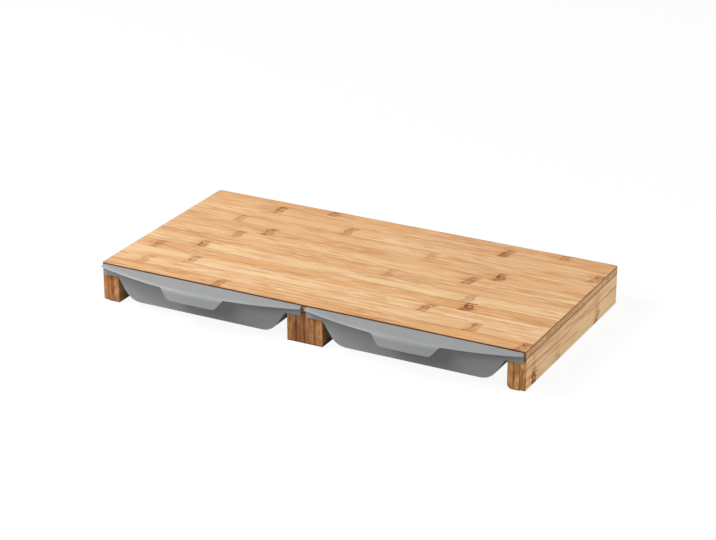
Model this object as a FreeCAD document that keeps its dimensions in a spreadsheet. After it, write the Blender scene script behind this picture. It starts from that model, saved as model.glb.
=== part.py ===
import FreeCAD, Part
import Sketcher
import math
import os

# Bamboo cutting board on three rails, with two moulded trays that slide in under it.
# Millimetres, +Z up. X runs along the board and Y from its front edge to its back edge.
# The origin is on the floor, under the middle of the board.

SIZES = {
    "board_length": 520.0,          # left side to right side
    "board_depth": 258.0,           # front edge to back edge
    "board_height": 46.0,           # floor to cutting surface
    "panel_thickness": 9.0,
    "full_stave_count": 10,         # bamboo staves glued edge to edge
    "back_stave_width": 15.4,       # the rearmost and the front one are trimmed
    "front_stave_width": 19.6,
    "side_rail_width": 21.0,
    "centre_rail_width": 43.5,
    "side_strip_count": 3,          # strips glued side by side in a side rail
    "core_strip_count": 3,          # strips between the ledge strips of the centre rail
    "rear_corner_radius": 4.0,      # board corners in plan
    "front_corner_radius": 1.5,
    "arris_radius": 0.8,            # eased edge round the cutting surface
    "foot_edge_radius": 2.0,        # lower outer edges of the side rails
    "right_foot_radius": 5.5,       # lower inner edge of the right rail
    "rim_thickness": 2.0,           # tray rim that runs on the ledges
    "rim_seat_gap": 0.3,            # rim to ledge
    "rim_top_gap": 0.7,             # rim to underside of panel
    "rim_side_gap": 0.6,            # rim edge to bottom of groove
    "rim_rear_reach": 6.0,          # rim behind the bowl
    "rim_corner_radius": 7.0,
    "rear_gap": 10.0,               # tray rim to back edge of board
    "wall": 2.0,                    # moulded wall of the bowl
    "bowl_side_gap": 0.5,           # bowl to rail, just under the rim
    "bowl_ground_gap": 6.9,         # bowl to floor
    "bowl_side_angle": 57.5,        # side walls above the horizontal, degrees
    "bowl_side_radius": 22.0,       # side walls into bottom
    "bowl_back_angle": 6.0,         # back wall off the vertical, degrees
    "bowl_end_radius": 6.0,         # back wall into sides and bottom
    "front_gap": 1.0,               # apron to front edge of board
    "lip_thickness": 1.6,           # apron, lip and tab
    "lip_below_top": 1.7,           # lip under the cutting surface, at its back
    "apron_below_top": 13.4,        # lower edge of the apron
    "apron_corner_radius": 1.5,
    "apron_inset": 1.6,             # ends of the apron inside the lip's tips
    "tray_spacing": 4.0,            # between the tips of the two lips
    "lip_reach": 21.2,              # lip in front of the apron's back, in its middle
    "lip_tip_reach": 5.4,           # and at its two ends
    "lip_slope": 9.0,               # downwards to the front, degrees
    "lip_bend_radius": 4.8,         # inside the bend from the lip down to the tab
    "lip_end_radius": 0.8,          # rounded upper edges at the lip's two ends
    "tab_drop": 12.6,               # tab below the lip's upper surface
    "tab_lean": 19.0,               # tab forward of square to the lip, degrees
    "tab_root_width": 79.5,
    "tab_foot_width": 60.5,
    "tab_root_radius": 4.0,
    "tab_foot_radius": 5.5,
}

NEAR = 1e-4                         # two points closer than this are the same
OVERCUT = 1.0                       # how far a cut runs past what it removes
TRIM_CLEARANCE = 0.3                # how far the cut under the lip runs behind its tips
LARGEST_ROUND = 0.9                 # of a strip's lower edge, in strip widths

# Lengths that follow from the sheet, as expressions that features are bound to.
RAIL_HEIGHT = "(Sizes.board_height - Sizes.panel_thickness)"
GROOVE_HEIGHT = "(Sizes.rim_seat_gap + Sizes.rim_thickness + Sizes.rim_top_gap)"
LEDGE_HEIGHT = f"({RAIL_HEIGHT} - {GROOVE_HEIGHT})"
STRIP_WIDTH = "(Sizes.side_rail_width / Sizes.side_strip_count)"
CORE_WIDTH = f"((Sizes.centre_rail_width - 2 * {STRIP_WIDTH}) / Sizes.core_strip_count)"
TRIMMED_STAVES = "(Sizes.back_stave_width + Sizes.front_stave_width)"
STAVE_WIDTH = f"((Sizes.board_depth - {TRIMMED_STAVES}) / Sizes.full_stave_count)"
BAY_INNER = "(Sizes.centre_rail_width / 2)"
BAY_OUTER = "(Sizes.board_length / 2 - Sizes.side_rail_width)"
BAY_CENTRE = f"(({BAY_OUTER} + {BAY_INNER}) / 2)"
BAY_HALF = f"(({BAY_OUTER} - {BAY_INNER}) / 2)"

RIM_TOP = f"({RAIL_HEIGHT} - Sizes.rim_top_gap)"
RIM_UNDERSIDE = f"({RIM_TOP} - Sizes.rim_thickness)"
RIM_HALF = f"({BAY_HALF} + {STRIP_WIDTH} - Sizes.rim_side_gap)"
RIM_BACK = "(Sizes.board_depth - Sizes.rear_gap)"
BOWL_BACK = f"({RIM_BACK} - Sizes.rim_rear_reach)"
BOWL_HALF = f"({BAY_HALF} - Sizes.bowl_side_gap)"
SIDE_SLOPE = "tan(Sizes.bowl_side_angle)"
BOWL_MOUTH_HALF = f"({BOWL_HALF} + Sizes.rim_thickness / {SIDE_SLOPE})"
BOWL_FOOT_HALF = f"({BOWL_HALF} - ({RIM_UNDERSIDE} - Sizes.bowl_ground_gap) / {SIDE_SLOPE})"
BACK_SLOPE = "tan(Sizes.bowl_back_angle)"
APRON_FACE = "(Sizes.front_gap + Sizes.lip_thickness)"
APRON_MIDDLE = "(Sizes.front_gap + Sizes.lip_thickness / 2)"
LIP_HALF = f"({BAY_CENTRE} - Sizes.tray_spacing / 2)"
APRON_HALF = f"({LIP_HALF} - Sizes.apron_inset)"
APRON_LOW = "(Sizes.board_height - Sizes.apron_below_top)"
LIP_TOP = "(Sizes.board_height - Sizes.lip_below_top)"
LIP_BOW = "(Sizes.lip_reach - Sizes.lip_tip_reach)"
LIP_RADIUS = f"(({LIP_HALF} ^ 2 + {LIP_BOW} ^ 2) / (2 * {LIP_BOW}))"
LIP_CENTRE = f"({LIP_RADIUS} - Sizes.lip_reach)"
BEND_OUTSIDE = "(Sizes.lip_bend_radius + Sizes.lip_thickness)"
SKIRT_DEPTH = f"({BEND_OUTSIDE} + Sizes.lip_thickness)"
TAB_FORWARD = "(Sizes.tab_drop * tan(Sizes.tab_lean))"
TAB_BAND_HALF = f"(Sizes.tab_root_width / 2 + Sizes.tab_root_radius + {OVERCUT})"

doc = FreeCAD.newDocument("cutting_board")
sheet = doc.addObject("Spreadsheet::Sheet", "Sizes")
for row, (alias, number) in enumerate(SIZES.items(), start=1):
    sheet.set(f"A{row}", alias)
    sheet.set(f"B{row}", str(number))
    sheet.setAlias(f"B{row}", alias)
doc.recompute()


def value(expression):
    """What an expression on the sheet comes to."""
    return float(sheet.evalExpression(expression))


# ---- sketches --------------------------------------------------------------------------

def sketch_on(body, role, name, shift=None, turn=None):
    """A sketch on an origin plane of the body, shifted in the plane's own axes and
    turned about its first axis."""
    sketch = body.newObject("Sketcher::SketchObject", name)
    plane = [item for item in body.Origin.OriginFeatures if item.Role == role][0]
    sketch.AttachmentSupport = [(plane, "")]
    sketch.MapMode = "FlatFace"
    if turn:
        rotation = FreeCAD.Rotation(FreeCAD.Vector(1, 0, 0), value(turn))
        sketch.AttachmentOffset = FreeCAD.Placement(FreeCAD.Vector(), rotation)
        sketch.setExpression("AttachmentOffset.Rotation.Angle", turn)
    for axis, expression in (shift or {}).items():
        sketch.setExpression(f"AttachmentOffset.Base.{axis}", expression)
    return sketch


def bind(sketch, kind, where, expression):
    """A dimension whose value is an expression on the sheet."""
    index = sketch.addConstraint(Sketcher.Constraint(kind, *where, value(expression)))
    sketch.setExpression(f"Constraints[{index}]", expression)


def fix_point(sketch, geometry, end, x, y):
    bind(sketch, "DistanceX", (-1, 1, geometry, end), x)
    bind(sketch, "DistanceY", (-1, 1, geometry, end), y)


def add_outline(sketch, corners):
    """A closed outline through corners (x, y, radius); a radius of None keeps it sharp."""
    points = [FreeCAD.Vector(value(x), value(y), 0) for x, y, radius in corners]
    count = len(points)
    starts = []
    ends = []
    for i in range(count):
        to_last = (points[i - 1] - points[i]).normalize()
        to_next = (points[(i + 1) % count] - points[i]).normalize()
        radius = corners[i][2]
        setback = 0.0
        if radius:
            setback = value(radius) / math.tan(to_last.getAngle(to_next) / 2)
        ends.append(points[i] + to_last * setback)
        starts.append(points[i] + to_next * setback)
    first = sketch.GeometryCount
    for i in range(count):
        sketch.addGeometry(Part.LineSegment(starts[i], ends[(i + 1) % count]), False)
    for i in range(count):
        before = first + (i - 1) % count
        after = first + i
        x, y, radius = corners[i]
        if not radius:
            sketch.addConstraint(Sketcher.Constraint("Coincident", before, 2, after, 1))
            fix_point(sketch, after, 1, x, y)
            continue
        bisector = (ends[i] + starts[i]) * 0.5 - points[i]
        half_chord = (ends[i] - starts[i]).Length / 2
        reach = bisector.Length + half_chord ** 2 / bisector.Length
        centre = points[i] + bisector.normalize() * reach
        middle = centre + (points[i] - centre).normalize() * value(radius)
        arc = sketch.addGeometry(Part.Arc(ends[i], middle, starts[i]), False)
        chord = sketch.getPoint(arc, 1) - ends[i]
        near, far = (1, 2) if chord.Length < NEAR else (2, 1)
        sketch.addConstraint(Sketcher.Constraint("Tangent", before, 2, arc, near))
        sketch.addConstraint(Sketcher.Constraint("Tangent", after, 1, arc, far))
        bind(sketch, "Radius", (arc,), radius)
        corner = sketch.addGeometry(Part.Point(points[i]), True)
        sketch.addConstraint(Sketcher.Constraint("PointOnObject", corner, 1, before))
        sketch.addConstraint(Sketcher.Constraint("PointOnObject", corner, 1, after))
        fix_point(sketch, corner, 1, x, y)


def add_rectangle(sketch, left, right, low, high):
    add_outline(sketch, [(left, low, None), (right, low, None),
                         (right, high, None), (left, high, None)])


def add_bow(sketch, radius, half_width):
    """An arc that bulges to the front, its centre on the tray's middle plane."""
    centre_y = LIP_CENTRE
    circle = Part.Circle(FreeCAD.Vector(0, value(centre_y), 0), FreeCAD.Vector(0, 0, 1),
                         value(radius))
    swing = math.asin(value(half_width) / value(radius))
    straight_front = 1.5 * math.pi
    arc = sketch.addGeometry(
        Part.ArcOfCircle(circle, straight_front - swing, straight_front + swing), False)
    fix_point(sketch, arc, 3, "0", centre_y)
    bind(sketch, "Radius", (arc,), radius)
    bind(sketch, "DistanceX", (-1, 1, arc, 1), f"-{half_width}")
    bind(sketch, "DistanceX", (-1, 1, arc, 2), half_width)
    return arc


def join_ends(sketch, geometry, end, other, other_end):
    """A line from one end of the geometry to an end of another."""
    line = sketch.addGeometry(
        Part.LineSegment(sketch.getPoint(geometry, end), sketch.getPoint(other, other_end)),
        False)
    sketch.addConstraint(Sketcher.Constraint("Coincident", line, 1, geometry, end))
    sketch.addConstraint(Sketcher.Constraint("Coincident", line, 2, other, other_end))


# ---- features --------------------------------------------------------------------------

def new_body(name):
    body = doc.addObject("PartDesign::Body", name)
    body.Label = name
    return body


def add_feature(body, kind, name, settings, bindings):
    feature = body.newObject("PartDesign::" + kind, f"{body.Name}_{name}")
    for key, setting in settings.items():
        setattr(feature, key, setting)
    for key, expression in bindings.items():
        feature.setExpression(key, expression)
    body.Tip = feature
    doc.recompute()
    return feature


def add_pad(body, name, sketch, length, backwards=False):
    settings = {"Profile": sketch, "Reversed": backwards}
    return add_feature(body, "Pad", name, settings, {"Length": length})


def add_pocket(body, name, sketch, length, both_ways=False):
    before = body.Shape.Volume
    settings = {"Profile": sketch, "Midplane": both_ways}
    add_feature(body, "Pocket", name, settings, {"Length": length})
    if body.Shape.Volume >= before:
        raise RuntimeError(f"{body.Label}: the cut {name} removes nothing")


def sample_points(shape):
    """Corners of an edge or a face, and the middle of an edge."""
    points = [vertex.Point for vertex in shape.Vertexes]
    if shape.ShapeType == "Edge":
        points.append(shape.valueAt((shape.FirstParameter + shape.LastParameter) / 2))
    return points


def near(a, b):
    return abs(a - b) < NEAR


def at(points, x=None, y=None, z=None):
    """Whether all the points lie at the given coordinates."""
    return all((x is None or near(point.x, x)) and (y is None or near(point.y, y))
               and (z is None or near(point.z, z)) for point in points)


def add_fillet(body, name, radius, chosen):
    """Rounds the edges whose sample points are chosen."""
    before = body.Tip
    edges = [f"Edge{number}" for number, edge in enumerate(before.Shape.Edges, start=1)
             if chosen(sample_points(edge))]
    if not edges:
        raise RuntimeError(f"{body.Label}: no edge for the round {name}")
    return add_feature(body, "Fillet", name, {"Base": (before, edges)}, {"Radius": radius})


# ---- the wooden board ------------------------------------------------------------------

def add_block(name, corner, lengths):
    """A straight piece of bamboo, from its low corner and its lengths along X, Y and Z."""
    body = new_body(name)
    outline = sketch_on(body, "XY_Plane", name + "_outline")
    add_rectangle(outline, "0", lengths[0], "0", lengths[1])
    add_pad(body, "block", outline, lengths[2])
    for axis, expression in zip("xyz", corner):
        body.setExpression("Placement.Base." + axis, expression)
    return body


def add_panel():
    """Staves along X; number one is the rearmost."""
    count = int(value("Sizes.full_stave_count")) + 2
    length = value("Sizes.board_length")
    top = value("Sizes.panel_thickness")
    for i in range(count):
        back_edge = "Sizes.board_depth / 2"
        width = "Sizes.back_stave_width"
        if i > 0:
            back_edge += f" - Sizes.back_stave_width - {i - 1} * {STAVE_WIDTH}"
            width = STAVE_WIDTH
        if i == count - 1:
            width = "Sizes.front_stave_width"
        body = add_block(f"top_stave_{i + 1:02d}",
                         ("-Sizes.board_length / 2", f"{back_edge} - {width}", RAIL_HEIGHT),
                         ("Sizes.board_length", width, "Sizes.panel_thickness"))
        joints = [0.0, value(width)]
        if i == 0:
            back = joints.pop()
            add_fillet(body, "corners", "Sizes.rear_corner_radius",
                       lambda points: at(points, x=0, y=back) or at(points, x=length, y=back))
        if i == count - 1:
            joints.pop(0)
            add_fillet(body, "corners", "Sizes.front_corner_radius",
                       lambda points: at(points, x=0, y=0) or at(points, x=length, y=0))
        add_fillet(body, "arris", "Sizes.arris_radius",
                   lambda points: at(points, z=top)
                   and not any(at(points, y=joint) for joint in joints))


def add_side_rail(name, side):
    """Strips side by side along Y; number one is the outer one. The last one is lower, and
    the tray's rim runs on it. The side is -1 on the left and 1 on the right."""
    count = int(value("Sizes.side_strip_count"))
    strip = value(STRIP_WIDTH)
    depth = value("Sizes.board_depth")
    for i in range(count):
        outside = f"(Sizes.board_length / 2 - {i} * {STRIP_WIDTH})"
        low_x = f"-{outside}" if side < 0 else f"{outside} - {STRIP_WIDTH}"
        height = LEDGE_HEIGHT if i == count - 1 else RAIL_HEIGHT
        body = add_block(f"{name}_strip_{i + 1}", (low_x, "-Sizes.board_depth / 2", "0"),
                         (STRIP_WIDTH, "Sizes.board_depth", height))
        outer_x, inner_x = (0, strip) if side < 0 else (strip, 0)
        if i == 0:
            add_fillet(body, "rear_corner", "Sizes.rear_corner_radius",
                       lambda points: at(points, x=outer_x, y=depth))
            add_fillet(body, "front_corner", "Sizes.front_corner_radius",
                       lambda points: at(points, x=outer_x, y=0))
            add_fillet(body, "foot", "Sizes.foot_edge_radius",
                       lambda points: at(points, z=0) and not at(points, x=inner_x)
                       and not at(points, y=0) and not at(points, y=depth))
        if i == count - 1 and side > 0:
            add_fillet(body, "foot", f"min(Sizes.right_foot_radius; {LARGEST_ROUND} * {STRIP_WIDTH})",
                       lambda points: at(points, x=inner_x, z=0))


def add_centre_rail():
    """Strips side by side along Y, from left to right, with a lower ledge strip for each
    tray outermost."""
    cores = int(value("Sizes.core_strip_count"))
    low_x = "-Sizes.centre_rail_width / 2"
    for i in range(cores + 2):
        ledge = i in (0, cores + 1)
        width = STRIP_WIDTH if ledge else CORE_WIDTH
        height = LEDGE_HEIGHT if ledge else RAIL_HEIGHT
        add_block(f"centre_rail_strip_{i + 1}", (low_x, "-Sizes.board_depth / 2", "0"),
                  (width, "Sizes.board_depth", height))
        low_x += f" + {width}"


# ---- a moulded tray --------------------------------------------------------------------
# Its own origin is on the floor, below the board's front edge, in the middle of its bay.

def add_bowl(body):
    """An open shell: one section along Y, a flat front and a sloping, rounded back."""
    section = sketch_on(body, "XZ_Plane", body.Name + "_section", {"z": APRON_FACE})
    foot = "Sizes.bowl_ground_gap"
    add_outline(section, [
        (f"-{BOWL_MOUTH_HALF}", RIM_TOP, None),
        (f"-{BOWL_FOOT_HALF}", foot, "Sizes.bowl_side_radius"),
        (BOWL_FOOT_HALF, foot, "Sizes.bowl_side_radius"),
        (BOWL_MOUTH_HALF, RIM_TOP, None)])
    add_pad(body, "bowl", section, f"{APRON_FACE} + {BOWL_BACK}", backwards=True)

    slope = sketch_on(body, "YZ_Plane", body.Name + "_back_slope")
    low = f"(Sizes.bowl_ground_gap - {OVERCUT})"
    lean = f"({RIM_TOP} - {low}) * {BACK_SLOPE}"
    add_outline(slope, [
        (BOWL_BACK, RIM_TOP, None),
        (f"{BOWL_BACK} - {lean}", low, None),
        (f"{BOWL_BACK} + {OVERCUT}", low, None),
        (f"{BOWL_BACK} + {OVERCUT}", RIM_TOP, None)])
    add_pocket(body, "back_slope", slope, "Sizes.board_length", both_ways=True)

    mouth = value(RIM_TOP)
    back = value(BOWL_BACK)
    back_slope = value(BACK_SLOPE)

    def on_back(points):
        in_slope = all(near(point.y, back - (mouth - point.z) * back_slope)
                       for point in points)
        return in_slope and not at(points, z=mouth)
    add_fillet(body, "bowl_back", "Sizes.bowl_end_radius", on_back)

    solid = body.Tip
    opening = [f"Face{number}" for number, face in enumerate(solid.Shape.Faces, start=1)
               if at(sample_points(face), z=mouth)]
    add_feature(body, "Thickness", "shell", {"Base": (solid, opening), "Reversed": True},
                {"Value": "Sizes.wall"})


def add_rim(body):
    """A flat rim round three sides of the mouth, joined to the bowl inside its wall."""
    rim = sketch_on(body, "XY_Plane", body.Name + "_rim_outline", {"z": RIM_UNDERSIDE})
    in_wall = "Sizes.wall / 4"
    inner = f"({BOWL_HALF} - {in_wall})"
    inner_back = f"({BOWL_BACK} - {in_wall})"
    front = f"-{APRON_MIDDLE}"
    add_outline(rim, [
        (f"-{RIM_HALF}", front, None),
        (f"-{RIM_HALF}", RIM_BACK, "Sizes.rim_corner_radius"),
        (RIM_HALF, RIM_BACK, "Sizes.rim_corner_radius"),
        (RIM_HALF, front, None),
        (inner, front, None),
        (inner, inner_back, "Sizes.bowl_end_radius"),
        (f"-{inner}", inner_back, "Sizes.bowl_end_radius"),
        (f"-{inner}", front, None)])
    add_pad(body, "rim", rim, "Sizes.rim_thickness")


def add_apron(body):
    """A plate in front of the panel's edge and the ends of the rails."""
    apron = sketch_on(body, "XZ_Plane", body.Name + "_apron_outline", {"z": "Sizes.front_gap"})
    top = f"({LIP_TOP} - Sizes.lip_thickness / 2)"
    add_outline(apron, [
        (f"-{APRON_HALF}", APRON_LOW, "Sizes.apron_corner_radius"),
        (APRON_HALF, APRON_LOW, "Sizes.apron_corner_radius"),
        (APRON_HALF, top, None),
        (f"-{APRON_HALF}", top, None)])
    add_pad(body, "apron", apron, "Sizes.lip_thickness")


def add_band(body, name, hinge, half_width, depth):
    """A curved wall under the lip's front edge, as thick as the lip, that leans forward."""
    band = sketch_on(body, "XY_Plane", f"{body.Name}_{name}_outline", hinge, "Sizes.lip_slope")
    outside = add_bow(band, LIP_RADIUS, half_width)
    inside = add_bow(band, f"({LIP_RADIUS} - Sizes.lip_thickness)", half_width)
    join_ends(band, outside, 1, inside, 1)
    join_ends(band, outside, 2, inside, 2)
    from_upright = "(Sizes.tab_lean - Sizes.lip_slope)"
    settings = {"Profile": band, "UseCustomVector": True, "AlongSketchNormal": True}
    add_feature(body, "Pad", name, settings, {
        "Length": depth, "Direction.x": "0", "Direction.y": f"-sin({from_upright})",
        "Direction.z": f"-cos({from_upright})"})


def add_lip(body):
    """A bowed lip that slopes to the front, flares at both ends and is bent down in its
    middle into a tab. A skirt along its whole front carries the bend to both ends, and
    is then cut away."""
    hinge = {"y": "-Sizes.front_gap", "z": LIP_TOP}
    lip = sketch_on(body, "XY_Plane", body.Name + "_lip_outline", hinge, "Sizes.lip_slope")
    front = add_bow(lip, LIP_RADIUS, LIP_HALF)
    back = lip.addGeometry(Part.LineSegment(
        FreeCAD.Vector(-value(APRON_HALF), 0, 0), FreeCAD.Vector(value(APRON_HALF), 0, 0)))
    fix_point(lip, back, 1, f"-{APRON_HALF}", "0")
    fix_point(lip, back, 2, APRON_HALF, "0")
    join_ends(lip, front, 1, back, 1)
    join_ends(lip, front, 2, back, 2)
    add_pad(body, "lip", lip, "Sizes.lip_thickness", backwards=True)

    ends_from = value(APRON_HALF) - NEAR
    thickness = value("Sizes.lip_thickness")
    bow_radius = value(LIP_RADIUS)
    bow_centre = value(LIP_CENTRE)
    lean = value("tan(Sizes.tab_lean)")
    to_lip = lip.Placement.inverse()

    def on_lip(points, height, radius=None):
        """Whether the points lie at a height over the lip, and on the bow at that height."""
        centre = bow_centre + height * lean
        local = [to_lip.multVec(point) for point in points]
        return all(near(point.z, height) and
                   (radius is None or near(math.hypot(point.x, point.y - centre), radius))
                   for point in local)
    add_band(body, "tab", hinge, TAB_BAND_HALF, "Sizes.tab_drop")
    add_fillet(body, "bend_inside", "Sizes.lip_bend_radius",
               lambda points: on_lip(points, -thickness, bow_radius - thickness))
    add_band(body, "skirt", hinge, LIP_HALF, SKIRT_DEPTH)
    add_fillet(body, "bend_outside", BEND_OUTSIDE,
               lambda points: on_lip(points, 0, bow_radius))

    ahead = f"(Sizes.lip_reach + {TAB_FORWARD} + {OVERCUT})"
    plane = {"y": f"{LIP_TOP} - {ahead} * sin(Sizes.lip_slope)",
             "z": f"Sizes.front_gap + {ahead} * cos(Sizes.lip_slope)"}
    underside = "-Sizes.lip_thickness"
    skirt_trim = sketch_on(body, "XZ_Plane", body.Name + "_skirt_trim", plane,
                           "Sizes.lip_slope")
    beside_lip = f"({LIP_HALF} + {OVERCUT})"
    below_skirt = f"-({SKIRT_DEPTH} + {OVERCUT})"
    add_rectangle(skirt_trim, TAB_BAND_HALF, beside_lip, below_skirt, underside)
    add_rectangle(skirt_trim, f"-{beside_lip}", f"-{TAB_BAND_HALF}", below_skirt, underside)
    behind_tips = f"(Sizes.lip_tip_reach - Sizes.lip_thickness - {TRIM_CLEARANCE})"
    add_pocket(body, "skirt_trimmed", skirt_trim, f"{ahead} - {behind_tips}")

    tab_trim = sketch_on(body, "XZ_Plane", body.Name + "_tab_trim", plane, "Sizes.lip_slope")
    root = "Sizes.tab_root_width / 2"
    foot = "Sizes.tab_foot_width / 2"
    edge = f"({TAB_BAND_HALF} + {OVERCUT})"
    inward = f"({foot} - Sizes.tab_foot_radius - {OVERCUT})"
    below_tab = f"-(Sizes.tab_drop + {OVERCUT})"
    for sign in ("", "-"):
        add_outline(tab_trim, [
            (f"{sign}{edge}", underside, None),
            (f"{sign}({root})", underside, "Sizes.tab_root_radius"),
            (f"{sign}({foot})", "-Sizes.tab_drop", "Sizes.tab_foot_radius"),
            (f"{sign}{inward}", "-Sizes.tab_drop", None),
            (f"{sign}{inward}", below_tab, None),
            (f"{sign}{edge}", below_tab, None)])
    bow = f"{TAB_BAND_HALF} ^ 2 / (2 * {LIP_RADIUS})"
    bend_room = f"{bow} + {BEND_OUTSIDE} + {TRIM_CLEARANCE}"
    add_pocket(body, "tab_trimmed", tab_trim, f"{OVERCUT} + {TAB_FORWARD} + {bend_room}")

    add_fillet(body, "lip_ends", "Sizes.lip_end_radius",
               lambda points: on_lip(points, 0)
               and all(abs(point.x) > ends_from for point in points))


def add_tray(name, centre):
    body = new_body(name)
    add_bowl(body)
    add_rim(body)
    add_apron(body)
    add_lip(body)
    body.setExpression("Placement.Base.x", centre)
    body.setExpression("Placement.Base.y", "-Sizes.board_depth / 2")


add_panel()
add_side_rail("left_rail", -1)
add_side_rail("right_rail", 1)
add_centre_rail()
add_tray("left_tray", f"-{BAY_CENTRE}")
add_tray("right_tray", BAY_CENTRE)
doc.recompute()

# ---- check and write -------------------------------------------------------------------

for item in doc.Objects:
    if "Invalid" in item.State or "Error" in item.State:
        raise RuntimeError(f"{item.Label} has failed: {item.State}")

os.makedirs("parts", exist_ok=True)
for body in doc.findObjects("PartDesign::Body"):
    shape = body.Shape
    if shape.isNull() or not shape.isValid() or len(shape.Solids) != 1:
        raise RuntimeError(f"{body.Label} is not one valid solid")
    shape.exportStep(os.path.join("parts", body.Label + ".step"))
    print(f"{body.Label}: {shape.Volume / 1000:.1f} cm3")
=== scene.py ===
import bpy
import math
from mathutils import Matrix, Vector


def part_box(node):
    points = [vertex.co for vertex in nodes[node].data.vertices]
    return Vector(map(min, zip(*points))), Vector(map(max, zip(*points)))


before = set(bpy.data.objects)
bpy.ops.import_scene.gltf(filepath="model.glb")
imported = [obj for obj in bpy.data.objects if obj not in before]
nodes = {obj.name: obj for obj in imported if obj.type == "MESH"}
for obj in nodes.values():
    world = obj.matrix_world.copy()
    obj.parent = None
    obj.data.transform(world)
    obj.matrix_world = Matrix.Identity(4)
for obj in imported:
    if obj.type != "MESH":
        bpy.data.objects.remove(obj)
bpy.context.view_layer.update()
scene = bpy.context.scene


# helpers for node trees; a value is a number, a tuple or another node's output

def feed(tree, value, socket):
    if isinstance(value, bpy.types.NodeSocket):
        tree.links.new(value, socket)
    elif value is not None:
        socket.default_value = value


def calc(tree, operation, *values, clamp=False):
    node = tree.nodes.new("ShaderNodeMath")
    node.operation = operation
    node.use_clamp = clamp
    for value, socket in zip(values, node.inputs):
        feed(tree, value, socket)
    return node.outputs[0]


def calcVector(tree, operation, *values, scale=None):
    node = tree.nodes.new("ShaderNodeVectorMath")
    node.operation = operation
    for value, socket in zip(values, node.inputs):
        feed(tree, value, socket)
    feed(tree, scale, node.inputs[3])
    return node.outputs["Value" if operation == "DOT_PRODUCT" else "Vector"]


def split(tree, vector):
    node = tree.nodes.new("ShaderNodeSeparateXYZ")
    tree.links.new(vector, node.inputs[0])
    return node.outputs


def spread(tree, value, low, high, toLow=0.0, toHigh=1.0, kind="SMOOTHSTEP"):
    node = tree.nodes.new("ShaderNodeMapRange")
    node.interpolation_type = kind
    for socket, number in zip(node.inputs, (value, low, high, toLow, toHigh)):
        feed(tree, number, socket)
    return node.outputs["Result"]


# strength up to the first distance, nothing from the second one on
def fade(tree, distance, reach, strength):
    return spread(tree, distance, reach[0], reach[1], strength, 0.0)


def swingOf(tree, value, amount, base=None):
    centred = calc(tree, "SUBTRACT", value, 0.5)
    if base is None:
        return calc(tree, "MULTIPLY", centred, amount)
    return calc(tree, "MULTIPLY_ADD", centred, amount, base)


def blendColor(tree, factor, first, second, mode="MIX"):
    node = tree.nodes.new("ShaderNodeMix")
    node.data_type = "RGBA"
    node.blend_type = mode
    feed(tree, factor, node.inputs["Factor"])
    feed(tree, first, node.inputs[6])
    feed(tree, second, node.inputs[7])
    return node.outputs[2]


def noise(tree, vector, size, detail=2.0):
    squeezed = calcVector(tree, "DIVIDE", vector, size)
    node = tree.nodes.new("ShaderNodeTexNoise")
    node.inputs["Scale"].default_value = 1.0
    node.inputs["Detail"].default_value = detail
    node.inputs["Roughness"].default_value = 0.5
    tree.links.new(squeezed, node.inputs["Vector"])
    return node.outputs["Fac"]


def newGroup(name, inputs, outputs):
    tree = bpy.data.node_groups.new(name, "ShaderNodeTree")
    for label, kind, start in inputs:
        socket = tree.interface.new_socket(name=label, in_out="INPUT", socket_type="NodeSocket" + kind)
        if start is not None:
            socket.default_value = start
    for label, kind in outputs:
        tree.interface.new_socket(name=label, in_out="OUTPUT", socket_type="NodeSocket" + kind)
    return tree, tree.nodes.new("NodeGroupInput").outputs, tree.nodes.new("NodeGroupOutput").inputs


def placeGroup(tree, group, **values):
    node = tree.nodes.new("ShaderNodeGroup")
    node.node_tree = group
    for label, value in values.items():
        feed(tree, value, node.inputs[label])
    return node.outputs


def newMaterial(name):
    material = bpy.data.materials.new(name)
    material.use_nodes = True
    tree = material.node_tree
    return material, tree, tree.nodes["Principled BSDF"]


def addBump(tree, surface, height, strength, depth):
    bump = tree.nodes.new("ShaderNodeBump")
    bump.inputs["Strength"].default_value = strength
    bump.inputs["Distance"].default_value = depth
    feed(tree, height, bump.inputs["Height"])
    feed(tree, bump.outputs["Normal"], surface.inputs["Normal"])


def srgb(red, green, blue):
    return tuple(((c / 255 + 0.055) / 1.055) ** 2.4 for c in (red, green, blue)) + (1.0,)


def mixTone(first, second, amount):
    return tuple(a + (b - a) * amount for a, b in zip(first, second))


def dress(name, material):
    piece = nodes[name]
    piece.data.materials.clear()
    piece.data.materials.append(material)


# bamboo fibres; pattern sizes are (along the fibres, across them, through the piece) in metres
grainLook = {
    "broad": (0.16, 0.009, 0.014),
    "middle": (0.042, 0.0036, 0.004),
    "fine": (0.018, 0.0012, 0.0014),
    "patch": (0.10, 0.012, 0.02),
    "line": (0.10, 0.0022, 0.004),
    "lineShift": (0.7, 0.4, 0.2),
    "lineRange": (0.60, 0.70),
    "seedStep": (13.7, 7.3, 3.1),
    "broadSwing": 1.9,
    "middleSwing": 3.8,
    "fineSwing": 3.0,
    "base": 0.42,
    "warmRange": (0.42, 0.72),
    "warmLimit": 0.9,
    "fineHeight": 0.6,
    "middleHeight": 0.4,
    "fineRange": (0.2, 0.8),
    "roughness": (0.42, 0.58),
}


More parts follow.
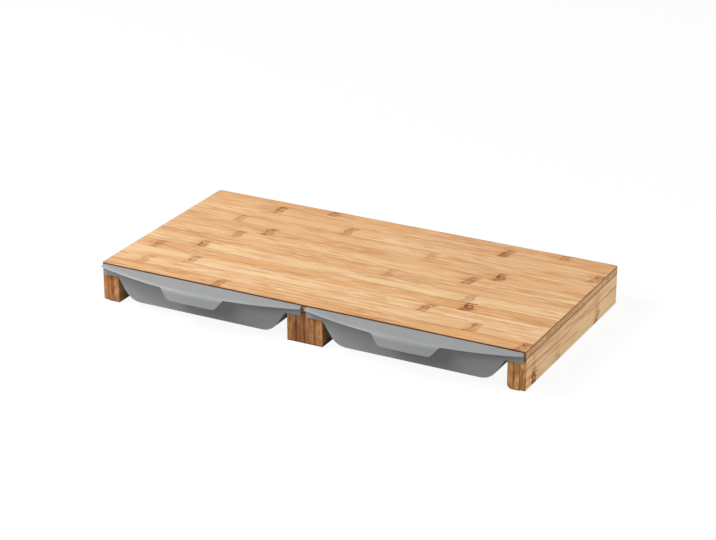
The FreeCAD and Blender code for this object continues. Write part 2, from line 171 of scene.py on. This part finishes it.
def makeGrain():
    tree, given, result = newGroup("bambooGrain", [
        ("Vector", "Vector", None), ("Seed", "Float", 0.0), ("Light", "Color", None),
        ("Dark", "Color", None), ("Warm", "Color", None), ("Streaks", "Float", 1.0)],
        [("Color", "Color"), ("Fibre", "Float"), ("Roughness", "Float")])
    shift = calcVector(tree, "SCALE", grainLook["seedStep"], scale=given["Seed"])
    place = calcVector(tree, "ADD", given["Vector"], shift)
    broad = noise(tree, place, grainLook["broad"], 1.0)
    middle = noise(tree, place, grainLook["middle"])
    fine = noise(tree, place, grainLook["fine"])
    patch = noise(tree, place, grainLook["patch"], 1.0)
    line = noise(tree, calcVector(tree, "ADD", place, grainLook["lineShift"]), grainLook["line"], 1.0)

    swing = calc(tree, "ADD", swingOf(tree, broad, grainLook["broadSwing"]),
                 swingOf(tree, middle, grainLook["middleSwing"]))
    swing = calc(tree, "ADD", swing, swingOf(tree, fine, grainLook["fineSwing"]))
    swing = calc(tree, "ADD", swing, spread(tree, line, *grainLook["lineRange"]))
    factor = calc(tree, "MULTIPLY_ADD", swing, given["Streaks"], grainLook["base"], clamp=True)
    color = blendColor(tree, factor, given["Light"], given["Dark"])
    warmth = spread(tree, patch, *grainLook["warmRange"], 0.0, grainLook["warmLimit"])
    fibre = calc(tree, "ADD", calc(tree, "MULTIPLY", fine, grainLook["fineHeight"]),
                 calc(tree, "MULTIPLY", middle, grainLook["middleHeight"]))
    rough = spread(tree, fine, *grainLook["fineRange"], *grainLook["roughness"], "LINEAR")
    tree.links.new(blendColor(tree, warmth, color, given["Warm"]), result["Color"])
    tree.links.new(fibre, result["Fibre"])
    tree.links.new(rough, result["Roughness"])
    return tree


# rings of the culm: two ragged dark lines with dashes, and a warm halo along the fibres
ringLook = {
    "wave": (0.05, 0.010, 0.01),
    "comb": (0.05, 0.0019, 0.003),
    "dash": (0.013, 0.0017, 0.003),
    "patch": (0.006, 0.006, 0.006),
    "streak": (0.04, 0.0026, 0.003),
    "waveSwing": 0.009,
    "combSwing": 0.010,
    "bendPower": 3.0,
    "offset": 0.001,
    "lipPlace": 0.62,
    "lipRange": (0.12, 0.50),
    "farLip": 0.75,
    "farRange": (-0.003, 0.003),
    "inside": 0.5,
    "insideRange": (0.5, 1.0),
    "dashRange": (0.36, 0.60),
    "dashDepth": (0.45, 1.25),
    "patchRange": (0.35, 0.6),
    "patchDepth": (0.55, 1.2),
    "edgeDepth": 0.3,
    "haloFar": 2.0,
    "streakRange": (0.35, 0.6),
}


def makeRing():
    tree, given, result = newGroup("bambooRing", [
        ("Vector", "Vector", None), ("Place", "Float", 0.0), ("Width", "Float", 0.006),
        ("Half", "Float", 0.011), ("Bend", "Float", -0.006), ("Strength", "Float", 1.0),
        ("Halo", "Float", 0.02)],
        [("Core", "Float"), ("Halo", "Float")])
    axes = split(tree, given["Vector"])
    wave = noise(tree, given["Vector"], ringLook["wave"], 1.0)
    comb = noise(tree, given["Vector"], ringLook["comb"])
    dash = noise(tree, given["Vector"], ringLook["dash"])
    patch = noise(tree, given["Vector"], ringLook["patch"], 1.0)
    streak = noise(tree, given["Vector"], ringLook["streak"])

    turned = calc(tree, "POWER", calc(tree, "DIVIDE", axes[1], given["Half"]), ringLook["bendPower"])
    shift = swingOf(tree, wave, ringLook["waveSwing"])
    shift = swingOf(tree, comb, ringLook["combSwing"], shift)
    shift = calc(tree, "MULTIPLY_ADD", turned, given["Bend"], shift)
    along = calc(tree, "ADD", calc(tree, "SUBTRACT", axes[0], given["Place"]), shift)

    aside = calc(tree, "ABSOLUTE", calc(tree, "SUBTRACT", along, ringLook["offset"]))
    ratio = calc(tree, "DIVIDE", aside, given["Width"])
    fromLip = calc(tree, "ABSOLUTE", calc(tree, "SUBTRACT", ratio, ringLook["lipPlace"]))
    lips = calc(tree, "MULTIPLY", fade(tree, fromLip, ringLook["lipRange"], 1.0),
                spread(tree, along, *ringLook["farRange"], 1.0, ringLook["farLip"]))
    core = calc(tree, "MAXIMUM", lips, fade(tree, ratio, ringLook["insideRange"], ringLook["inside"]))
    deep = calc(tree, "MULTIPLY", spread(tree, dash, *ringLook["dashRange"], *ringLook["dashDepth"]),
                spread(tree, patch, *ringLook["patchRange"], *ringLook["patchDepth"]))
    deep = calc(tree, "MULTIPLY_ADD", calc(tree, "ABSOLUTE", turned), ringLook["edgeDepth"], deep)
    core = calc(tree, "MULTIPLY", calc(tree, "MULTIPLY", core, deep), given["Strength"], clamp=True)

    lopsided = calc(tree, "MAXIMUM", calc(tree, "MULTIPLY", along, -1.0),
                    calc(tree, "MULTIPLY", along, ringLook["haloFar"]))
    halo = fade(tree, calc(tree, "DIVIDE", lopsided, given["Halo"]), (0.0, 1.0), 1.0)
    halo = calc(tree, "MULTIPLY", halo, spread(tree, streak, *ringLook["streakRange"]))
    tree.links.new(core, result["Core"])
    tree.links.new(calc(tree, "MULTIPLY", halo, given["Strength"]), result["Halo"])
    return tree


# cut ends of the bamboo: bands, soft clouds and small pores
endLook = {
    "seedStep": (1.37, 0.73, 0.31),
    "pore": (0.02, 0.0007, 0.0009),
    "poreRange": (0.15, 0.55),
    "poreDepth": 0.3,
    "cloud": (0.02, 0.005, 0.007),
    "cloudSwing": 1.6,
    "bandSwing": 2.0,
    "base": 0.25,
}


def makeEnd():
    tree, given, result = newGroup("bambooEnd", [
        ("Vector", "Vector", None), ("Seed", "Float", 0.0), ("Light", "Color", None),
        ("Dark", "Color", None), ("Bands", "Vector", None)], [("Color", "Color")])
    shift = calcVector(tree, "SCALE", endLook["seedStep"], scale=given["Seed"])
    place = calcVector(tree, "ADD", given["Vector"], shift)
    cells = tree.nodes.new("ShaderNodeTexVoronoi")
    cells.inputs["Scale"].default_value = 1.0
    tree.links.new(calcVector(tree, "DIVIDE", place, endLook["pore"]), cells.inputs["Vector"])
    pores = fade(tree, cells.outputs["Distance"], endLook["poreRange"], 1.0)
    band = noise(tree, place, given["Bands"])
    cloud = noise(tree, place, endLook["cloud"], 1.0)
    factor = swingOf(tree, cloud, endLook["cloudSwing"], endLook["base"])
    factor = swingOf(tree, band, endLook["bandSwing"], factor)
    factor = calc(tree, "MULTIPLY_ADD", pores, endLook["poreDepth"], factor, clamp=True)
    tree.links.new(blendColor(tree, factor, given["Light"], given["Dark"]), result["Color"])
    return tree


grainGroup = makeGrain()
ringGroup = makeRing()
endGroup = makeEnd()
print("groups for bamboo made")

# colours; the staves' cut ends use the band pair, the rails' cut ends the end pair
wood = {
    "cream": srgb(244, 206, 159),
    "tan": srgb(230, 180, 129),
    "amber": srgb(224, 164, 100),
    "streak": srgb(200, 138, 82),
    "ring": srgb(152, 98, 10),
    "halo": srgb(204, 134, 62),
    "seam": srgb(150, 98, 60),
    "endLight": srgb(238, 172, 108),
    "endDark": srgb(134, 78, 38),
    "bandLight": srgb(223, 174, 124),
    "bandDark": srgb(157, 111, 69),
    # the dark colour of the joints, marks and edge lines, and of the painted shade
    "line": srgb(84, 50, 28),
}

# what staves and rail strips have in common; line reaches are (full up to, gone from) in metres
bamboo = {
    "specular": 0.22,
    "bump": 0.35,
    "bumpDepth": 0.0002,
    "darkStart": 0.45,
    "darkTone": 0.5,
    "ringWidth": 0.0056,
    "toneChange": 0.003,
    "endContrast": 0.25,
    "seamReach": (0.0, 0.0005),
    "seamDepth": 0.5,
    "seamFaces": (0.4, 0.8),
    "jointReach": (0.0001, 0.0010),
    "markReach": (0.0004, 0.0021),
    "rimReach": (0.0007, 0.0019),
    "rimDepth": 0.65,
    "endFaces": (0.35, 0.7),
    "sideFaces": (0.3, 0.6),
}

staveLook = {
    "stretch": 1.0,
    "bend": -0.0036,
    "bands": (0.02, 0.03, 0.0018),
    "arrisReach": (0.0003, 0.0016),
    "arrisDepth": 0.55,
    "arrisFaces": (0.2, 0.6),
    "backReach": (0.0003, 0.0024),
    "backDepth": 0.5,
    # painted shade on the front face of the front stave, under the tray's lip: full from the top down to
    # the second depth, shadeBelowBand strength below the first depth
    "shadeBandDepths": (0.0036, 0.0024),
    "shadeBelowBand": 0.45,
}

railLook = {
    "stretch": 0.5,
    "bend": 0.0,
    "bands": (0.02, 0.0021, 0.016),
    "ringFade": (0.008, 0.022),
    "ringTop": 0.2,
    # reach of the painted shade along the top and bottom of the side faces, where the panel and the floor
    # meet the rail
    "edgeReach": (0.0, 0.0012),
}


# where a point lies on a piece: place has the fibres along X, inward is the distance to the glued
# faces, rim the distance to the top or the bottom; facing, upright and onSide say which way it looks
def measurePiece(tree, name, alongX):
    low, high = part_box(name)
    side = 1 if alongX else 0
    middle = [0.0, 0.0, 0.0]
    middle[side] = (low[side] + high[side]) / 2
    half = (high[side] - low[side]) / 2
    spot = tree.nodes.new("ShaderNodeTexCoord").outputs
    turn = tree.nodes.new("ShaderNodeMapping")
    turn.vector_type = "TEXTURE"
    turn.inputs["Location"].default_value = middle
    turn.inputs["Rotation"].default_value = (0, 0, 0 if alongX else math.pi / 2)
    tree.links.new(spot["Object"], turn.inputs["Vector"])
    place = turn.outputs["Vector"]
    axes = split(tree, place)
    height = split(tree, spot["Object"])[2]
    run = (1, 0, 0) if alongX else (0, 1, 0)
    facing = calc(tree, "ABSOLUTE", calcVector(tree, "DOT_PRODUCT", spot["Normal"], run))
    upright = calc(tree, "ABSOLUTE", calcVector(tree, "DOT_PRODUCT", spot["Normal"], (0, 0, 1)))
    return {
        "place": place, "along": axes[0], "across": axes[1], "height": height,
        "half": half, "top": high[2], "end": high[0], "facing": facing, "upright": upright,
        "inward": calc(tree, "SUBTRACT", half, calc(tree, "ABSOLUTE", axes[1])),
        "rim": calc(tree, "MINIMUM", calc(tree, "SUBTRACT", height, low[2]),
                    calc(tree, "SUBTRACT", high[2], height)),
        "onSide": fade(tree, calc(tree, "ADD", facing, upright), bamboo["sideFaces"], 1.0),
    }


def paintRings(tree, color, at, look, alongX):
    for start, strength, reach in look["rings"]:
        if not alongX:
            low = spread(tree, at["height"], *railLook["ringFade"], 1.0, railLook["ringTop"])
            strength = calc(tree, "MULTIPLY", low, strength)
        ring = placeGroup(tree, ringGroup, Vector=at["place"], Place=start, Width=bamboo["ringWidth"],
                          Half=at["half"], Bend=(staveLook if alongX else railLook)["bend"],
                          Strength=strength, Halo=reach)
        color = blendColor(tree, ring["Halo"], color, wood["halo"])
        color = blendColor(tree, ring["Core"], color, wood["ring"], "MULTIPLY")
    return color


def paintEnd(tree, at, look, alongX):
    lowTone, highTone, step = look["end"]
    pale, deep = (wood["bandLight"], wood["bandDark"]) if alongX else (wood["endLight"], wood["endDark"])
    above = spread(tree, at["height"], step - bamboo["toneChange"], step + bamboo["toneChange"])
    lighter = blendColor(tree, above, mixTone(pale, deep, lowTone), mixTone(pale, deep, highTone))
    darker = mixTone(deep, pale, bamboo["endContrast"] * (1 - max(lowTone, highTone)))
    color = placeGroup(tree, endGroup, Vector=at["place"], Seed=look["seed"], Light=lighter, Dark=darker,
                       Bands=(staveLook if alongX else railLook)["bands"])["Color"]
    lines = [(at["inward"], bamboo["jointReach"], look["joint"])]
    for right, strength in look["marks"]:
        beside = calc(tree, "ABSOLUTE", calc(tree, "ADD", at["across"], right))
        lines.append((beside, bamboo["markReach"], strength))
    lines.append((at["rim"], bamboo["rimReach"], bamboo["rimDepth"]))
    for distance, reach, strength in lines:
        color = blendColor(tree, fade(tree, distance, reach, strength), color, wood["line"])
    return color


def paintEdgesAndShade(tree, color, at, look, alongX):
    masks = []
    if alongX:
        fromEnd = calc(tree, "SUBTRACT", at["end"], calc(tree, "ABSOLUTE", at["along"]))
        masks.append(calc(tree, "MULTIPLY",
                          fade(tree, fromEnd, staveLook["arrisReach"], staveLook["arrisDepth"]),
                          spread(tree, at["upright"], *staveLook["arrisFaces"])))
        if look["backEdge"]:
            back = calc(tree, "SUBTRACT", at["half"], at["across"])
            masks.append(fade(tree, back, staveLook["backReach"], staveLook["backDepth"]))
        # painted shade on the front face of the front stave, where the tray's lip shades it: strongest in
        # the top band, weaker below
        start, stop = (at["top"] - below for below in staveLook["shadeBandDepths"])
        shaded = spread(tree, at["height"], start, stop, staveLook["shadeBelowBand"], 1.0)
    else:
        # painted shade in thin lines along the top and bottom of the side faces
        shaded = fade(tree, at["rim"], railLook["edgeReach"], 1.0)
    masks.append(calc(tree, "MULTIPLY", at["onSide"], calc(tree, "MULTIPLY", shaded, look["edge"])))
    # painted shade over the whole side face, beside a tray's bay
    if look["inner"]:
        masks.append(calc(tree, "MULTIPLY", at["onSide"], look["inner"]))
    for mask in masks:
        color = blendColor(tree, mask, color, wood["line"])
    return color


def bambooMaterial(name, look, alongX):
    material, tree, surface = newMaterial(name)
    at = measurePiece(tree, name, alongX)
    light = mixTone(wood["cream"], wood["tan"], look["tone"])
    dark = mixTone(wood["tan"], wood["streak"], bamboo["darkStart"] + bamboo["darkTone"] * look["tone"])
    stretch = ((staveLook if alongX else railLook)["stretch"], 1.0, 1.0)
    grain = placeGroup(tree, grainGroup, Vector=calcVector(tree, "MULTIPLY", at["place"], stretch),
                       Seed=look["seed"], Light=light, Dark=dark,
                       Warm=mixTone(light, wood["amber"], look["warm"]), Streaks=look["streaks"])
    color = paintRings(tree, grain["Color"], at, look, alongX)
    seam = calc(tree, "MULTIPLY", fade(tree, at["inward"], bamboo["seamReach"], bamboo["seamDepth"]),
                spread(tree, at["upright"], *bamboo["seamFaces"]))
    color = blendColor(tree, seam, color, wood["seam"])
    color = paintEdgesAndShade(tree, color, at, look, alongX)
    color = blendColor(tree, spread(tree, at["facing"], *bamboo["endFaces"]), color,
                       paintEnd(tree, at, look, alongX))
    feed(tree, color, surface.inputs["Base Color"])
    feed(tree, grain["Roughness"], surface.inputs["Roughness"])
    surface.inputs["Specular IOR Level"].default_value = bamboo["specular"]
    addBump(tree, surface, grain["Fibre"], bamboo["bump"], bamboo["bumpDepth"])
    return material


# looks of the pieces: tone and warm set the body; rings are (place along the fibres, strength, halo
# length); end is (tone low down, tone high up, height of the change) of the cut ends; joint and marks as
# (place to the right of the middle, strength) are the strengths of dark lines; edge is the strength
# of painted shade in lines along the rims of the side faces and over the front face of the front stave;
# inner is the strength of painted shade over the side faces
plain = {"end": (0.0, 0.0, 0.04), "joint": 0.1, "edge": 0.0, "rings": [], "marks": [],
         "inner": 0.0, "streaks": 1.0, "backEdge": False}

# the panel's staves, from the back to the front
staves = [
    {"tone": 0.60, "warm": 0.9, "backEdge": True, "rings": [(-0.097, 0.62, 0.028), (0.1986, 0.68, 0.034)]},
    {"tone": 0.62, "warm": 0.5, "rings": [(-0.161, 0.70, 0.016), (0.1336, 0.78, 0.018)]},
    {"tone": 0.30, "warm": 0.4, "rings": [(-0.0562, 0.62, 0.016), (0.2515, 0.68, 0.022)]},
    {"tone": 0.45, "warm": 0.4, "rings": [(-0.190, 0.32, 0.014), (0.0617, 0.32, 0.014)]},
    {"tone": 0.70, "warm": 0.4, "rings": [(-0.1376, 0.66, 0.024), (0.1552, 0.80, 0.024)]},
    {"tone": 0.20, "warm": 0.4, "rings": [(-0.1669, 0.52, 0.024), (0.1296, 0.68, 0.020)]},
    {"tone": 0.55, "warm": 0.4, "rings": [(0.0403, 0.30, 0.018)]},
    {"tone": 0.0, "warm": 0.2, "rings": [(-0.1880, 0.60, 0.024), (0.1486, 0.42, 0.022)]},
    {"tone": 0.65, "warm": 0.8, "rings": [(-0.2324, 0.58, 0.026), (0.1572, 1.05, 0.040)]},
    {"tone": -0.10, "warm": 0.2, "rings": [(-0.1735, 0.55, 0.016), (0.1186, 0.60, 0.018)]},
    {"tone": 0.05, "warm": 0.5, "rings": [(-0.2211, 0.38, 0.022), (0.1853, 0.62, 0.018)]},
    # the front stave's front face gets painted shade where the tray's lip shades it
    {"tone": 0.75, "warm": 0.9, "edge": 0.85,
     "rings": [(-0.1125, 0.58, 0.020), (0.0604, 0.15, 0.020), (0.2508, 0.80, 0.012)]},
]
for i, look in enumerate(staves, start=1):
    name = f"top_stave_{i:02d}"
    dress(name, bambooMaterial(name, {**plain, "seed": i * 1.7, **look}, True))
print("panel dressed")

# the rails' strips: a side rail counts from its outer face, the centre rail from its left face
# strips get painted shade in thin lines along the top and bottom of their side faces
strip = {**plain, "tone": 0.5, "warm": 0.4, "joint": 0.7, "edge": 0.6}
rails = {
    "left_rail_strip_1": {"end": (0.45, 0.42, 0.01)},
    "left_rail_strip_2": {"end": (0.40, 0.60, 0.011), "joint": 0.35, "marks": [(0.0012, 0.45)]},
    # painted shade over the side face beside the left tray
    "left_rail_strip_3": {"end": (0.58, 0.22, 0.0095), "joint": 0.45, "inner": 0.35},
    "centre_rail_strip_1": {"end": (0.46, 0.34, 0.01), "joint": 0.3},
    "centre_rail_strip_2": {"end": (0.78, 0.50, 0.022), "joint": 0.25, "marks": [(-0.0010, 0.68)]},
    "centre_rail_strip_3": {"end": (0.66, 0.42, 0.018), "joint": 0.2, "marks": [(-0.0006, 0.7)]},
    "centre_rail_strip_4": {"end": (0.52, 0.44, 0.01), "joint": 0.25, "marks": [(0.0021, 0.6)]},
    # painted shade over the side face beside the right tray
    "centre_rail_strip_5": {"end": (0.5, 0.30, 0.01), "joint": 0.35, "inner": 0.5},
    "right_rail_strip_1": {"tone": -0.2, "warm": 0.0, "end": (0.5, -0.2, 0.0165), "streaks": 1.1,
                           "rings": [(0.067, 0.6, 0.02), (-0.045, 0.3, 0.03), (-0.108, 1.0, 0.062)]},
    "right_rail_strip_2": {"end": (-0.2, 0.3, 0.0165)},
    "right_rail_strip_3": {"end": (0.17, 0.10, 0.018)},
}
for i, (name, look) in enumerate(rails.items()):
    dress(name, bambooMaterial(name, {**strip, "seed": 40 + i * 2.3, **look}, False))
print("rails dressed")

# moulded trays
tray = {
    "grey": srgb(155, 156, 156),
    "shade": srgb(147, 148, 149),
    "grain": 0.0005,
    "smooth": 0.52,
    "rough": 0.62,
    "cloud": (0.05, 0.05, 0.05),
    "cloudRange": (0.3, 0.7),
    "specular": 0.4,
    "bump": 0.2,
    "bumpDepth": 0.00005,
}


def makeSkin():
    tree, given, result = newGroup("mouldedSkin", [
        ("Vector", "Vector", None), ("Grain", "Float", 0.0004), ("Smooth", "Float", 0.4),
        ("Rough", "Float", 0.5)],
        [("Roughness", "Float"), ("Height", "Float"), ("Cloud", "Float")])
    size = tree.nodes.new("ShaderNodeCombineXYZ")
    for socket in size.inputs:
        tree.links.new(given["Grain"], socket)
    cloud = noise(tree, given["Vector"], tray["cloud"])
    rough = spread(tree, cloud, *tray["cloudRange"], given["Smooth"], given["Rough"])
    tree.links.new(rough, result["Roughness"])
    tree.links.new(noise(tree, given["Vector"], size.outputs[0]), result["Height"])
    tree.links.new(cloud, result["Cloud"])
    return tree


def trayMaterial():
    material, tree, surface = newMaterial("trayPlastic")
    spot = tree.nodes.new("ShaderNodeTexCoord").outputs["Object"]
    skin = placeGroup(tree, makeSkin(), Vector=spot, Grain=tray["grain"], Smooth=tray["smooth"],
                      Rough=tray["rough"])
    feed(tree, blendColor(tree, skin["Cloud"], tray["grey"], tray["shade"]), surface.inputs["Base Color"])
    feed(tree, skin["Roughness"], surface.inputs["Roughness"])
    surface.inputs["Specular IOR Level"].default_value = tray["specular"]
    addBump(tree, surface, skin["Height"], tray["bump"], tray["bumpDepth"])
    return material


plastic = trayMaterial()
for name in ("left_tray", "right_tray"):
    dress(name, plastic)
print("trays dressed")

# floor and backdrop
stage = {
    "floorHalf": 6.0,
    "floorDrop": 0.0002,
    "floorColor": (0.55, 0.55, 0.55, 1),
    "floorRoughness": 0.9,
    "floorSpecular": 0.1,
    "floorGlow": 0.86,
    "glowStrength": 1.08,
    "world": 0.2,
}


# mixes a second shader over the first one by a mask, into the output node
def mixShaders(tree, mask, first, second, output):
    mix = tree.nodes.new("ShaderNodeMixShader")
    feed(tree, mask, mix.inputs[0])
    tree.links.new(first.outputs[0], mix.inputs[1])
    tree.links.new(second.outputs[0], mix.inputs[2])
    tree.links.new(mix.outputs[0], tree.nodes[output].inputs["Surface"])


def makeFloor():
    half = stage["floorHalf"]
    mesh = bpy.data.meshes.new("floor")
    mesh.from_pydata([(-half, -half, 0), (half, -half, 0), (half, half, 0), (-half, half, 0)], [],
                     [(0, 1, 2, 3)])
    floor = bpy.data.objects.new("floor", mesh)
    scene.collection.objects.link(floor)
    floor.location.z = -stage["floorDrop"]
    material, tree, surface = newMaterial("paleFloor")
    surface.inputs["Base Color"].default_value = stage["floorColor"]
    surface.inputs["Roughness"].default_value = stage["floorRoughness"]
    surface.inputs["Specular IOR Level"].default_value = stage["floorSpecular"]
    glow = tree.nodes.new("ShaderNodeEmission")
    glow.inputs["Strength"].default_value = stage["glowStrength"]
    path = tree.nodes.new("ShaderNodeLightPath").outputs
    seen = calc(tree, "MULTIPLY", path["Is Camera Ray"], stage["floorGlow"])
    mixShaders(tree, seen, surface, glow, "Material Output")
    mesh.materials.append(material)


def makeWorld():
    world = bpy.data.worlds.new("studio")
    world.use_nodes = True
    scene.world = world
    tree = world.node_tree
    soft = tree.nodes["Background"]
    soft.inputs["Color"].default_value = (1, 1, 1, 1)
    soft.inputs["Strength"].default_value = stage["world"]
    white = tree.nodes.new("ShaderNodeBackground")
    path = tree.nodes.new("ShaderNodeLightPath").outputs
    mirrored = calc(tree, "MAXIMUM", path["Is Glossy Ray"], path["Is Transmission Ray"])
    seen = calc(tree, "MAXIMUM", path["Is Camera Ray"], mirrored)
    mixShaders(tree, seen, soft, white, "World Output")


# lamps look at the origin; places and sizes in metres, power in watts
lamps = {
    "keyLeft": {"place": (-1.65, -0.9, 1.9), "size": 0.65, "power": 53},
    "softFront": {"place": (-2.5, -3.8, 3.2), "size": 2.1, "power": 95},
    "fillRight": {"place": (1.6, 0.35, 0.5), "size": 0.8, "power": 11},
}


def addLamp(name, place, size, power):
    lamp = bpy.data.lights.new(name, "AREA")
    lamp.size = size
    lamp.energy = power
    holder = bpy.data.objects.new(name, lamp)
    scene.collection.objects.link(holder)
    holder.location = place
    holder.rotation_euler = (-Vector(place)).to_track_quat("-Z", "Y").to_euler()


# turn is degrees to the right of the front, lift degrees above the floor
view = {
    "turn": 27.546,
    "lift": 22.857,
    "distance": 2.4535,
    "target": (-0.00238, 0.0, 0.03766),
    "lens": 109.55,
    "sensor": 36.0,
}


def makeCamera():
    turn = math.radians(view["turn"])
    lift = math.radians(view["lift"])
    back = Vector((math.sin(turn) * math.cos(lift), -math.cos(turn) * math.cos(lift), math.sin(lift)))
    camera = bpy.data.cameras.new("camera")
    camera.sensor_width = view["sensor"]
    camera.lens = view["lens"]
    holder = bpy.data.objects.new("camera", camera)
    scene.collection.objects.link(holder)
    holder.location = Vector(view["target"]) + back * view["distance"]
    holder.rotation_euler = (-back).to_track_quat("-Z", "Y").to_euler()
    scene.camera = holder


makeFloor()
makeWorld()
for name, lamp in lamps.items():
    addLamp(name, **lamp)
makeCamera()
scene.view_settings.view_transform = "Standard"
print("stage set")
